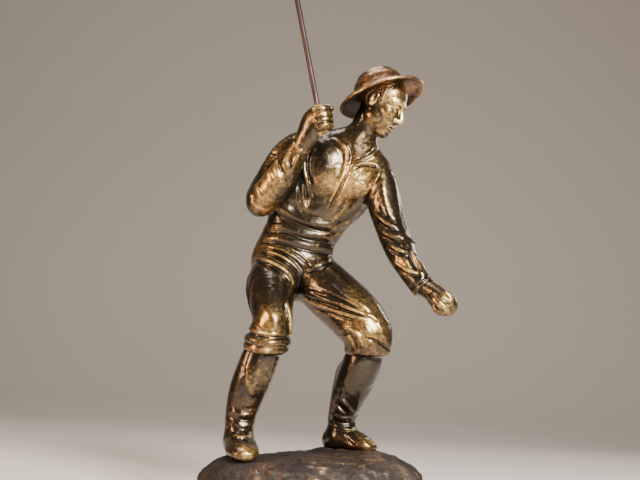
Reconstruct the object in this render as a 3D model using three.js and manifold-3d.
// A figure trophy: a cast countryman in a brimmed hat, who leans forward with a pole in his raised
// right fist and his left arm stretched down, on a hollow cast rock.
// Units are millimetres and +Z is up. The figure's front faces -Y, and its right side is at -X.
// The origin is the middle of the flat underside.
import * as THREE from "three";
import { mergeVertices } from "three/addons/utils/BufferGeometryUtils.js";
import Module from "manifold-3d";

const wasm = await Module();
wasm.setup();

// Driving dimensions.
const GAP = 0.3; // space left between two castings that meet
const POLE = { radius: 2, length: 200, clearance: 0.35, sides: 16 };
const DOWEL = { radius: 1.6, reach: 6, sides: 10 };
const STUD = { radius: 2, aboveSole: 12, belowSeat: 5, sides: 12 };
const WASHER = { radius: 4.5, thickness: 0.8, bore: 2.3 };
const NUT = { acrossCorners: 8.1, thickness: 3.2, bore: 2.3 };
const FELT = { thickness: 1.5, inset: 1.2 };
const ROCK = {
  halfWidth: 82.5,
  halfDepth: 56,
  middleHeight: 39,
  rise: 0.088,
  endStarts: 38,
  endFall: 5.5,
  wall: 4.5,
  seat: 12,
};
const TORSO_WALL = 4;
const SLEEVE = { wide: 18, deep: 12, wall: 2, height: 15 };
const UP = new THREE.Vector3(0, 0, 1);
const FORWARD = new THREE.Vector3(0, -1, 0);

const BRONZE = new THREE.MeshStandardMaterial({ color: 0x8a6230, roughness: 0.32, metalness: 1 });
const ROCK_BRONZE = new THREE.MeshStandardMaterial({ color: 0x4e3b30, roughness: 0.5, metalness: 1 });
const GREY_METAL = new THREE.MeshStandardMaterial({ color: 0x6b625c, roughness: 0.45, metalness: 1 });
const STEEL = new THREE.MeshStandardMaterial({ color: 0x8d8f92, roughness: 0.4, metalness: 1 });
const FELT_CLOTH = new THREE.MeshStandardMaterial({ color: 0x1f4a32, roughness: 1, metalness: 0 });

const vector = (p) => new THREE.Vector3(...p);

// ---- From three.js geometry to closed solids and back ----

function solid(geometry) {
  const bare = geometry.clone();
  bare.deleteAttribute("normal");
  bare.deleteAttribute("uv");
  const merged = mergeVertices(bare, 1e-4);
  return new wasm.Manifold(
    new wasm.Mesh({
      numProp: 3,
      vertProperties: merged.getAttribute("position").array,
      triVerts: new Uint32Array(merged.index.array),
    }),
  );
}

function join(...solids) {
  return solids.reduce((whole, next) => whole.add(next));
}

function named(name, shape, material) {
  const { vertProperties, triVerts } = shape.getMesh();
  const geometry = new THREE.BufferGeometry();
  geometry.setAttribute("position", new THREE.BufferAttribute(vertProperties, 3));
  geometry.setIndex(new THREE.BufferAttribute(triVerts, 1));
  geometry.computeVertexNormals();
  const mesh = new THREE.Mesh(geometry, material);
  mesh.name = name;
  return mesh;
}

// A matrix whose +Z lies along a direction, with its origin at a point.
function facing(at, along) {
  const turn = new THREE.Quaternion().setFromUnitVectors(UP, vector(along).normalize());
  return new THREE.Matrix4().compose(vector(at), turn, new THREE.Vector3(1, 1, 1));
}

// ---- Shapes ----

// A closed body lofted through rounded sections. Each station is [x, y, z, half width, half depth].
// Depth runs towards `front`; width is square to it and to the path. `grow` adds to every half size.
function loft(stations, { front = FORWARD, sides = 14, rings = 2 * (stations.length - 1), grow = 0 } = {}) {
  const path = new THREE.CatmullRomCurve3(stations.map(([x, y, z]) => new THREE.Vector3(x, y, z)));
  const sizes = new THREE.CatmullRomCurve3(
    stations.map(([, , , wide, deep = wide]) => new THREE.Vector3(wide, deep, 0)),
    false,
    "catmullrom",
  );
  const body = new THREE.CylinderGeometry(1, 1, 1, sides, rings);
  const position = body.getAttribute("position");
  for (let i = 0; i < position.count; i++) {
    const along = THREE.MathUtils.clamp(position.getY(i) + 0.5, 0, 1);
    const tangent = path.getTangent(along);
    const widthAxis = new THREE.Vector3().crossVectors(tangent, front).normalize();
    const depthAxis = new THREE.Vector3().crossVectors(widthAxis, tangent);
    const size = sizes.getPoint(along);
    const point = path
      .getPoint(along)
      .addScaledVector(widthAxis, position.getX(i) * (size.x + grow))
      .addScaledVector(depthAxis, position.getZ(i) * (size.y + grow));
    position.setXYZ(i, point.x, point.y, point.z);
  }
  return body;
}

function ellipsoid([x, y, z], [rx, ry, rz], place = new THREE.Matrix4(), segments = 14) {
  const ball = new THREE.SphereGeometry(1, segments, Math.round(segments * 0.6));
  return ball.scale(rx, ry, rz).translate(x, y, z).applyMatrix4(place);
}

// An upright cylinder from z = low to z = high, moved by `place`.
function rod(radius, low, high, sides, place = new THREE.Matrix4()) {
  const cylinder = new THREE.CylinderGeometry(radius, radius, high - low, sides);
  return cylinder.rotateX(Math.PI / 2).translate(0, 0, (low + high) / 2).applyMatrix4(place);
}

// ---- Joints between castings ----
// `at` is a point on the joint and `along` points out of the first casting, into the second.
const JOINTS = {
  neck: { at: [18, 9.8, 269.5], along: [0.33, -0.27, 0.9] },
  hat: { at: [34, -1.5, 308.8], along: [-0.317, 0.14, 0.94] },
  waist: { at: [-20, 32.5, 203], along: [0.25, -0.12, 0.96] },
  right_wrist: { at: [-23.5, -6.5, 264.5], along: [0.46, -0.42, 0.78] },
  left_wrist: { at: [71, -22, 160.5], along: [0.66, -0.3, -0.69] },
  right_knee: { at: [-42, -9, 106], along: [-0.3, 0.1, -0.95] },
  left_knee: { at: [33, 11, 110], along: [-0.2, 0.24, -0.95] },
};
const SHOULDERS = {
  right_shoulder: { at: [-22, 20.5, 268], along: [-0.93, 0.12, 0.1] },
  left_shoulder: { at: [34, 11, 250], along: [0.9, -0.3, -0.3] },
};

// The half of space beyond a joint, with half of the gap between the two castings.
function beyond({ at, along }) {
  const SIZE = 70;
  const block = new THREE.BoxGeometry(SIZE, SIZE, SIZE).translate(0, 0, (SIZE - GAP) / 2);
  return solid(block.applyMatrix4(facing(at, along)));
}

const before = (shape, joint) => shape.subtract(beyond(joint));
const after = (shape, { at, along }) =>
  shape.subtract(beyond({ at, along: vector(along).negate().toArray() }));

function dowel({ at, along }, extraRadius = 0, extraReach = 0) {
  const reach = DOWEL.reach + extraReach;
  return solid(rod(DOWEL.radius + extraRadius, -reach, reach, DOWEL.sides, facing(at, along)));
}

// The hole that a dowel sits in.
const dowelHole = (joint) => dowel(joint, GAP, GAP);

// ---- The figure's castings ----

// The neck reaches from inside the collar up into the head.
const NECK = [
  [15.5, 12, 262, 11.6, 11.6],
  [18.5, 9.5, 271, 11.4, 11.4],
  [23, 6.5, 282, 11, 11],
  [29, 2.5, 294, 12, 12],
  [33, 0, 303, 11, 11],
];

function torsoBody(grow = 0) {
  const stations = [
    [-21, 33, 200, 26, 19.5],
    [-14, 30.5, 213, 28, 21],
    [-5, 26, 227, 28, 21],
    [4, 21, 242, 31, 21.5],
    [10, 17, 255, 32, 19],
    [14.5, 13, 265, 27.5, 16.5],
    [18.5, 10, 274, 17, 14],
    [20, 9, 279, 13, 12],
  ];
  const shoulders = [
    [-24, 21, 266, 11.5, 12],
    [-16, 19.5, 268.5, 12.5, 12.5],
    [-2, 16.5, 269, 13, 13],
    [10, 13.5, 267, 13, 13],
    [22, 11, 261, 12.5, 12.5],
    [30, 10, 254, 11, 11.5],
  ];
  return solid(loft(stations, { sides: 16, grow })).add(solid(loft(shoulders, { grow })));
}

// The shirt's collar stands round the neck, high at the nape and low at the throat.
function collar() {
  const stations = [
    [14, 13, 259, 16, 15.5],
    [17.5, 10.2, 268.5, 15.6, 15],
    [20.5, 8.4, 275, 15, 14.4],
    [24.5, 5.5, 284, 15.4, 14.8],
  ];
  const throat = { at: [20, 8, 278], along: [0.62, -0.35, 0.7] };
  const opening = solid(loft(NECK, { grow: GAP }));
  return before(solid(loft(stations, { sides: 16 })), throat).subtract(opening);
}

function torso() {
  const hollow = [
    [-27, 36, 190, 26, 19.5],
    [-21, 33, 200, 26, 19.5],
    [-13, 30, 215, 27, 20],
    [-4, 25, 230, 25, 19],
    [1, 22, 239, 12, 10],
  ];
  const shell = before(after(torsoBody(), JOINTS.waist), JOINTS.neck)
    .subtract(solid(loft(NECK, { grow: GAP })).subtract(before(torsoBody(), JOINTS.neck)))
    .add(collar())
    .subtract(solid(loft(hollow, { sides: 12, grow: -TORSO_WALL })));
  return [JOINTS.neck, ...Object.values(SHOULDERS)].reduce((s, j) => s.subtract(dowelHole(j)), shell);
}

function breeches() {
  const hips = [
    [-29, 34, 168, 26, 17],
    [-27, 34.5, 178, 32, 23],
    [-26, 34, 190, 30.5, 23],
    [-24, 33.5, 197, 28, 21],
    [-20, 32.5, 206, 24, 17.5],
  ];
  const rightThigh = [
    [-37, 31, 178, 18.5, 17],
    [-40, 15, 162, 18.5, 18],
    [-39, 0, 145, 15.8, 16.5],
    [-37, -8, 132, 14.6, 15.5],
    [-39, -10, 120, 16, 16],
    [-39.5, -10, 115.5, 14.4, 14.6],
    [-41, -10, 111, 16.4, 16.2],
    [-43, -9, 103, 14.2, 14.4],
  ];
  const leftThigh = [
    [-16, 32, 177, 19, 19],
    [2, 24, 160, 20.5, 20],
    [20, 14, 144, 20.5, 20],
    [32, 7.5, 130, 19, 19],
    [34, 8.5, 120, 17.4, 17.5],
    [33.5, 10, 114, 17.6, 17.6],
    [33, 11.5, 108, 15, 15],
  ];
  const hollow = [
    [-20, 32.5, 208, 21, 14.5],
    [-23, 33.5, 198, 22, 16],
    [-25, 34, 188, 22, 16],
    [-26, 34, 182, 10, 8],
  ];
  const whole = join(
    solid(loft(hips, { sides: 16 })),
    solid(loft(rightThigh)),
    solid(loft(leftThigh)),
  ).subtract(solid(loft(hollow, { sides: 12 })));
  return before(before(before(whole, JOINTS.waist), JOINTS.right_knee), JOINTS.left_knee)
    .subtract(dowelHole(JOINTS.right_knee))
    .subtract(dowelHole(JOINTS.left_knee));
}

// A leg from the knee down, in its stocking and low shoe, flat under the sole.
function leg(shin, foot, joint, seat) {
  const [x, y] = seat.at;
  const below = new THREE.BoxGeometry(100, 100, 60).translate(x, y, seat.height + GAP - 30);
  return after(join(solid(loft(shin)), solid(loft(foot, { front: UP, sides: 12 }))), joint)
    .subtract(solid(below))
    .subtract(dowelHole(joint))
    .subtract(studHole(seat));
}

function rightLeg() {
  const shin = [
    [-42, -9, 108, 13.4, 13.6],
    [-45, -8, 100, 13.8, 14],
    [-49, -6.5, 88, 13.8, 14.2],
    [-52, -4.5, 76, 12.8, 13],
    [-54.5, -4, 63, 11, 11.4],
    [-55.4, -4.5, 54, 10, 10.4],
    [-55.4, -4.5, 42, 9.6, 10.2],
  ];
  const foot = [
    [-57.5, 10, 41, 3.5, 4],
    [-57, 7, 42, 8.5, 8.5],
    [-55.5, -4, 43, 10, 9.5],
    [-53.5, -16, 42.3, 11.4, 8.9],
    [-51.2, -28, 39.8, 11.8, 7],
    [-49.4, -37, 38.4, 9.5, 5],
    [-48.6, -42, 37.6, 3.5, 2.5],
  ];
  return leg(shin, foot, JOINTS.right_knee, SEATS.right);
}

function leftLeg() {
  const shin = [
    [33, 11, 112, 14.2, 14.4],
    [29.5, 14, 103, 14.6, 14.8],
    [25.5, 18, 91, 14, 14.4],
    [21.5, 22, 78, 12.6, 13],
    [18.5, 25, 66, 10.8, 11.2],
    [17.8, 25.5, 57, 10.2, 10.6],
    [18, 25, 48, 9.8, 10.4],
  ];
  const foot = [
    [6.5, 31, 48, 3.5, 4],
    [9.5, 29, 49.5, 8.5, 8.5],
    [18, 24.5, 50.5, 9.8, 9.6],
    [26, 19.6, 49, 10.4, 8.8],
    [33, 15.4, 47, 10.4, 7],
    [38, 12.4, 45.8, 8.8, 5.2],
    [42, 10, 45, 3.5, 2.6],
  ];
  return leg(shin, foot, JOINTS.left_knee, SEATS.left);
}

function rightArm() {
  const upper = [
    [-14, 20, 270, 14, 14],
    [-25, 22, 268.5, 15.4, 15],
    [-36, 22, 257, 14.2, 14],
    [-46, 20, 240.5, 12.8, 12.6],
    [-53, 16, 225, 11.2, 11.2],
    [-54, 13, 219, 6.5, 7],
  ];
  const fore = [
    [-54, 17, 219, 6.5, 6.5],
    [-50.5, 13, 224, 10.6, 10.6],
    [-43, 7, 235, 11.6, 11.2],
    [-36, 2.5, 245, 10.6, 10.2],
    [-29, -2.5, 256, 8.4, 8.2],
    [-22, -8, 267, 6.8, 6.8],
  ];
  return before(join(solid(loft(upper)), solid(loft(fore))), JOINTS.right_wrist)
    .subtract(torsoBody(GAP))
    .subtract(dowelHole(SHOULDERS.right_shoulder))
    .subtract(dowelHole(JOINTS.right_wrist));
}

function leftArm() {
  const arm = [
    [25, 12.5, 257, 11.5, 12],
    [34, 10, 251, 14, 14],
    [38.5, 5, 236, 13, 13.4],
    [41, 1.5, 222, 12, 12.2],
    [47, -4.5, 203, 10.8, 11],
    [55, -11, 186, 10.6, 10.6],
    [62.5, -16.5, 173, 9.6, 9.6],
    [69, -21, 163, 8.2, 8.2],
    [73, -24, 157, 7.6, 7.6],
  ];
  return before(solid(loft(arm)), JOINTS.left_wrist)
    .subtract(torsoBody(GAP))
    .subtract(dowelHole(SHOULDERS.left_shoulder))
    .subtract(dowelHole(JOINTS.left_wrist));
}

// A clenched fist around a grip line through `at`. `reach` points from the wrist to the knuckles,
// `grip` along the grip line towards the thumb, and `palmSide` is 1 for a right hand, -1 for a left.
function fist({ at, reach, grip, wrist, palmSide }) {
  const z = vector(grip).normalize();
  const x = vector(reach).addScaledVector(z, -vector(reach).dot(z)).normalize();
  const y = new THREE.Vector3().crossVectors(z, x);
  const place = new THREE.Matrix4().makeBasis(x, y, z).setPosition(vector(at));
  const local = new THREE.Matrix4().copy(place).invert();
  const start = vector(wrist).applyMatrix4(local);
  const towardsZ = { front: new THREE.Vector3(0, palmSide, 0), sides: 12, rings: 5 };
  const palm = loft(
    [
      [start.x, start.y, start.z, 6.6, 6.4],
      [start.x * 0.55, start.y * 0.55 - palmSide * 1.6, start.z * 0.5, 8.4, 6.4],
      [-1, -palmSide * 2.2, 0, 10.2, 5.6],
      [5, -palmSide * 2, 0, 9.4, 4.2],
    ],
    towardsZ,
  );
  const core = ellipsoid([0.5, 0, 0], [7, 7, 10.6], new THREE.Matrix4(), 12);
  const fingers = [0, 1, 2, 3].map((i) => {
    const height = (i - 1.5) * 4.9;
    const curl = 6.2 - 0.35 * Math.abs(i - 1.7);
    const turns = [70, 25, -20, -65, -110, -150];
    const stations = turns.map((degrees) => {
      const a = THREE.MathUtils.degToRad(degrees);
      return [Math.cos(a) * curl + 0.6, -palmSide * Math.sin(a) * curl, height, 2.75];
    });
    return solid(loft(stations, { front: UP, sides: 7, rings: 6 }).applyMatrix4(place));
  });
  const thumb = loft(
    [
      [-6, palmSide * 1, 7, 3],
      [-2, palmSide * 4.5, 9.2, 3.2],
      [3, palmSide * 5.5, 9.4, 2.9],
      [6.5, palmSide * 4.5, 8.4, 2.2],
    ],
    { front: UP, sides: 7, rings: 5 },
  );
  return join(...[palm, core, thumb].map((g) => solid(g.applyMatrix4(place))), ...fingers);
}

const POLE_FOOT = [-8.4, -14.2, 272.5];
const POLE_LINE = [-0.232, 0.1, 0.967];

function rightHand() {
  const whole = fist({
    at: [-11, -13, 283.3],
    reach: [0.87, -0.42, 0.25],
    grip: POLE_LINE,
    wrist: [-25, -5.5, 262],
    palmSide: 1,
  });
  const socket = rod(POLE.radius + POLE.clearance, -GAP, 60, POLE.sides, facing(POLE_FOOT, POLE_LINE));
  return after(whole, JOINTS.right_wrist)
    .subtract(solid(socket))
    .subtract(dowelHole(JOINTS.right_wrist));
}

function leftHand() {
  const whole = fist({
    at: [83.6, -28, 150.6],
    reach: [0.72, -0.34, -0.6],
    grip: [-0.35, -0.93, 0.105],
    wrist: [70, -21.5, 162],
    palmSide: -1,
  });
  return after(whole, JOINTS.left_wrist).subtract(dowelHole(JOINTS.left_wrist));
}

// The head's own frame: +X is where the face points, +Z its crown, and -Y its right ear.
const HEAD = new THREE.Matrix4()
  .makeBasis(
    new THREE.Vector3(0.845, -0.306, -0.438),
    new THREE.Vector3(0.34, 0.94, 0),
    new THREE.Vector3(0.412, -0.149, 0.899),
  )
  .setPosition(35, -2, 303);

function head() {
  const parts = [
    ellipsoid([-1, 0, 5], [18.5, 14.8, 17], HEAD),
    ellipsoid([6.5, 0, -9], [12.5, 11.6, 16], HEAD),
    ellipsoid([18, 0, -5], [3.4, 2.6, 5], HEAD, 10),
    ellipsoid([14, 0, -20], [5, 6, 5], HEAD, 10),
    ellipsoid([-2, -14.6, -1], [3.4, 2, 5], HEAD, 10),
    ellipsoid([-2, 14.6, -1], [3.4, 2, 5], HEAD, 10),
    loft(NECK),
  ];
  return after(before(join(...parts.map(solid)), JOINTS.hat), JOINTS.neck)
    .subtract(dowelHole(JOINTS.neck));
}

// The hat is a hollow casting, turned about its own axis: a domed crown over a drooping brim.
function hat() {
  const profile = [
    [0, 18],
    [6, 17.4],
    [11.5, 14.6],
    [15.4, 9.5],
    [17.2, 4],
    [17.4, 0],
    [22, 0],
    [28, -0.8],
    [32.6, -2.8],
    [33.6, -2],
    [33, -0.8],
    [28.5, 1.4],
    [22.5, 2.6],
    [20.8, 4.4],
    [20, 9],
    [17.4, 14.6],
    [13, 18.6],
    [7, 21],
    [0, 21.6],
  ].map(([radius, height]) => new THREE.Vector2(radius, height));
  const turned = new THREE.LatheGeometry(profile, 26).rotateX(Math.PI / 2);
  return solid(turned.applyMatrix4(facing(JOINTS.hat.at, JOINTS.hat.along)));
}

// ---- The rock ----

// Where each shoe stands: the middle of its stud, the height, middle and half length of its flat
// seat, and the way it points.
const SEATS = {
  right: { at: [-54, -6], height: 34, middle: [-52.5, -16], reach: 29, heading: [0.17, -0.98] },
  left: { at: [22, 22], height: 41, middle: [24.5, 20.5], reach: 25, heading: [0.86, -0.51] },
};

function rockOutline(angle) {
  const wobble = 1 - 0.035 * Math.sin(3 * angle + 0.8) - 0.025 * Math.sin(5 * angle + 2.1);
  const squareness = 2.4;
  const c = Math.abs(Math.cos(angle)) / ROCK.halfWidth;
  const s = Math.abs(Math.sin(angle)) / ROCK.halfDepth;
  return (wobble / (c ** squareness + s ** squareness) ** (1 / squareness)) * 0.98;
}

// The top rises to the figure's left, then falls away at that end.
function rockHeight(x, y) {
  const end = THREE.MathUtils.smoothstep(x, ROCK.endStarts, ROCK.halfWidth);
  const waves = 0.9 * Math.sin(x / 11 + y / 17) * Math.cos(y / 13 - 0.6);
  return ROCK.middleHeight + ROCK.rise * x - ROCK.endFall * end + waves;
}

// The rock's mound: the upper half of a ball pulled out to the outline and up to the height,
// flat underneath. `inset` shrinks it for the hollow inside.
function mound(inset, around, upward) {
  const ball = new THREE.SphereGeometry(1, around, upward).rotateX(Math.PI / 2);
  const position = ball.getAttribute("position");
  const floor = FELT.thickness + GAP;
  for (let i = 0; i < position.count; i++) {
    const [bx, by, bz] = [position.getX(i), position.getY(i), position.getZ(i)];
    const flat = Math.min(1, Math.hypot(bx, by));
    const angle = Math.atan2(by, bx);
    const radius = (rockOutline(angle) - inset) * flat ** (bz > 0 ? 0.45 : 1);
    const x = radius * Math.cos(angle);
    const y = radius * Math.sin(angle);
    const top = rockHeight(x, y) - inset - floor;
    position.setXYZ(i, x, y, bz > 0 ? floor + top * bz ** 0.38 : floor - (inset > 0 ? 4 : 0));
  }
  return solid(ball);
}

// A shoe-shaped column over a seat, from z = low to z = high.
function footprint({ middle, reach, heading }, low, high) {
  const sole = new THREE.Shape().absellipse(0, 0, reach, 12, 0, 2 * Math.PI);
  const shape = { depth: high - low, bevelEnabled: false, curveSegments: 10 };
  const column = new THREE.ExtrudeGeometry(sole, shape);
  const turn = Math.atan2(heading[1], heading[0]);
  return solid(column.translate(0, 0, low).rotateZ(turn).translate(middle[0], middle[1], 0));
}

const underSeat = (seat) => seat.height - ROCK.seat;

function studHole({ at, height }) {
  const hole = rod(STUD.radius + GAP, height - 40, height + STUD.aboveSole + GAP, STUD.sides);
  return solid(hole.translate(at[0], at[1], 0));
}

function rock() {
  let shape = mound(0, 36, 14);
  const hollow = mound(ROCK.wall, 22, 9);
  for (const seat of Object.values(SEATS)) {
    shape = shape
      .add(footprint(seat, seat.height - 9, seat.height).intersect(mound(-3, 24, 10)))
      .subtract(footprint(seat, seat.height, seat.height + 30));
  }
  shape = shape.subtract(hollow);
  for (const seat of Object.values(SEATS)) {
    const boss = rod(8, underSeat(seat), seat.height - 1, 14).translate(seat.at[0], seat.at[1], 0);
    shape = shape.add(solid(boss)).subtract(studHole(seat));
  }
  return shape;
}

function felt() {
  const STEPS = 44;
  const points = Array.from({ length: STEPS }, (_, i) => {
    const angle = (i / STEPS) * 2 * Math.PI;
    const radius = rockOutline(angle) - FELT.inset;
    return new THREE.Vector2(radius * Math.cos(angle), radius * Math.sin(angle));
  });
  const sheet = { depth: FELT.thickness, bevelEnabled: false };
  return solid(new THREE.ExtrudeGeometry(new THREE.Shape(points), sheet));
}

// ---- Fasteners and the pole ----

function stud(seat) {
  const low = underSeat(seat) - STUD.belowSeat - NUT.thickness;
  const shank = rod(STUD.radius, low, seat.height + STUD.aboveSole, STUD.sides);
  return solid(shank.translate(seat.at[0], seat.at[1], 0));
}

// A flat ring on a stud, under the seat: a washer when it has many sides, a nut when it has six.
function ring(seat, top, { bore, thickness }, radius, sides) {
  const [x, y] = seat.at;
  const plate = solid(rod(radius, top - thickness, top, sides).translate(x, y, 0));
  return plate.subtract(solid(rod(bore, top - thickness - 1, top + 1, STUD.sides).translate(x, y, 0)));
}

const washer = (seat) => ring(seat, underSeat(seat) - GAP, WASHER, WASHER.radius, 18);
const nut = (seat) =>
  ring(seat, underSeat(seat) - 2 * GAP - WASHER.thickness, NUT, NUT.acrossCorners / 2, 6);

// The pole is a plain round rod with rounded ends.
function pole() {
  const END = 1;
  const profile = [
    [0, 0],
    [POLE.radius - END, 0],
    [POLE.radius, END],
    [POLE.radius, POLE.length - END],
    [POLE.radius - END, POLE.length],
    [0, POLE.length],
  ].map(([radius, height]) => new THREE.Vector2(radius, height));
  const turned = new THREE.LatheGeometry(profile, POLE.sides).rotateX(Math.PI / 2);
  return solid(turned.applyMatrix4(facing(POLE_FOOT, POLE_LINE)));
}

// The sleeve that lines up the torso and the breeches inside the waist joint.
function waistSleeve() {
  const tube = (wide, deep, extra) => {
    const half = SLEEVE.height / 2 + extra;
    const oval = new THREE.CylinderGeometry(1, 1, 2 * half, 18).rotateX(Math.PI / 2);
    return solid(oval.scale(wide, deep, 1).applyMatrix4(facing(JOINTS.waist.at, JOINTS.waist.along)));
  };
  const { wide, deep, wall } = SLEEVE;
  return tube(wide, deep, 0).subtract(tube(wide - wall, deep - wall, 1));
}

// ---- The assembly ----

const trophy = new THREE.Group();
const castings = { torso, breeches, head, hat };
for (const [name, build] of Object.entries(castings)) trophy.add(named(name, build(), BRONZE));
const limbs = {
  right_arm: rightArm,
  left_arm: leftArm,
  right_hand: rightHand,
  left_hand: leftHand,
  right_leg: rightLeg,
  left_leg: leftLeg,
};
for (const [name, build] of Object.entries(limbs)) trophy.add(named(name, build(), BRONZE));
trophy.add(named("rock_base", rock(), ROCK_BRONZE));
trophy.add(named("felt_pad", felt(), FELT_CLOTH));
trophy.add(named("pole", pole(), GREY_METAL));
trophy.add(named("waist_sleeve", waistSleeve(), STEEL));
const dowelled = ["neck", "right_wrist", "left_wrist", "right_knee", "left_knee"];
for (const name of dowelled) trophy.add(named(`${name}_dowel`, dowel(JOINTS[name]), STEEL));
for (const [name, joint] of Object.entries(SHOULDERS)) {
  trophy.add(named(`${name}_dowel`, dowel(joint), STEEL));
}
for (const [side, seat] of Object.entries(SEATS)) {
  trophy.add(named(`${side}_foot_stud`, stud(seat), STEEL));
  trophy.add(named(`${side}_foot_washer`, washer(seat), STEEL));
  trophy.add(named(`${side}_foot_nut`, nut(seat), STEEL));
}

export default trophy;
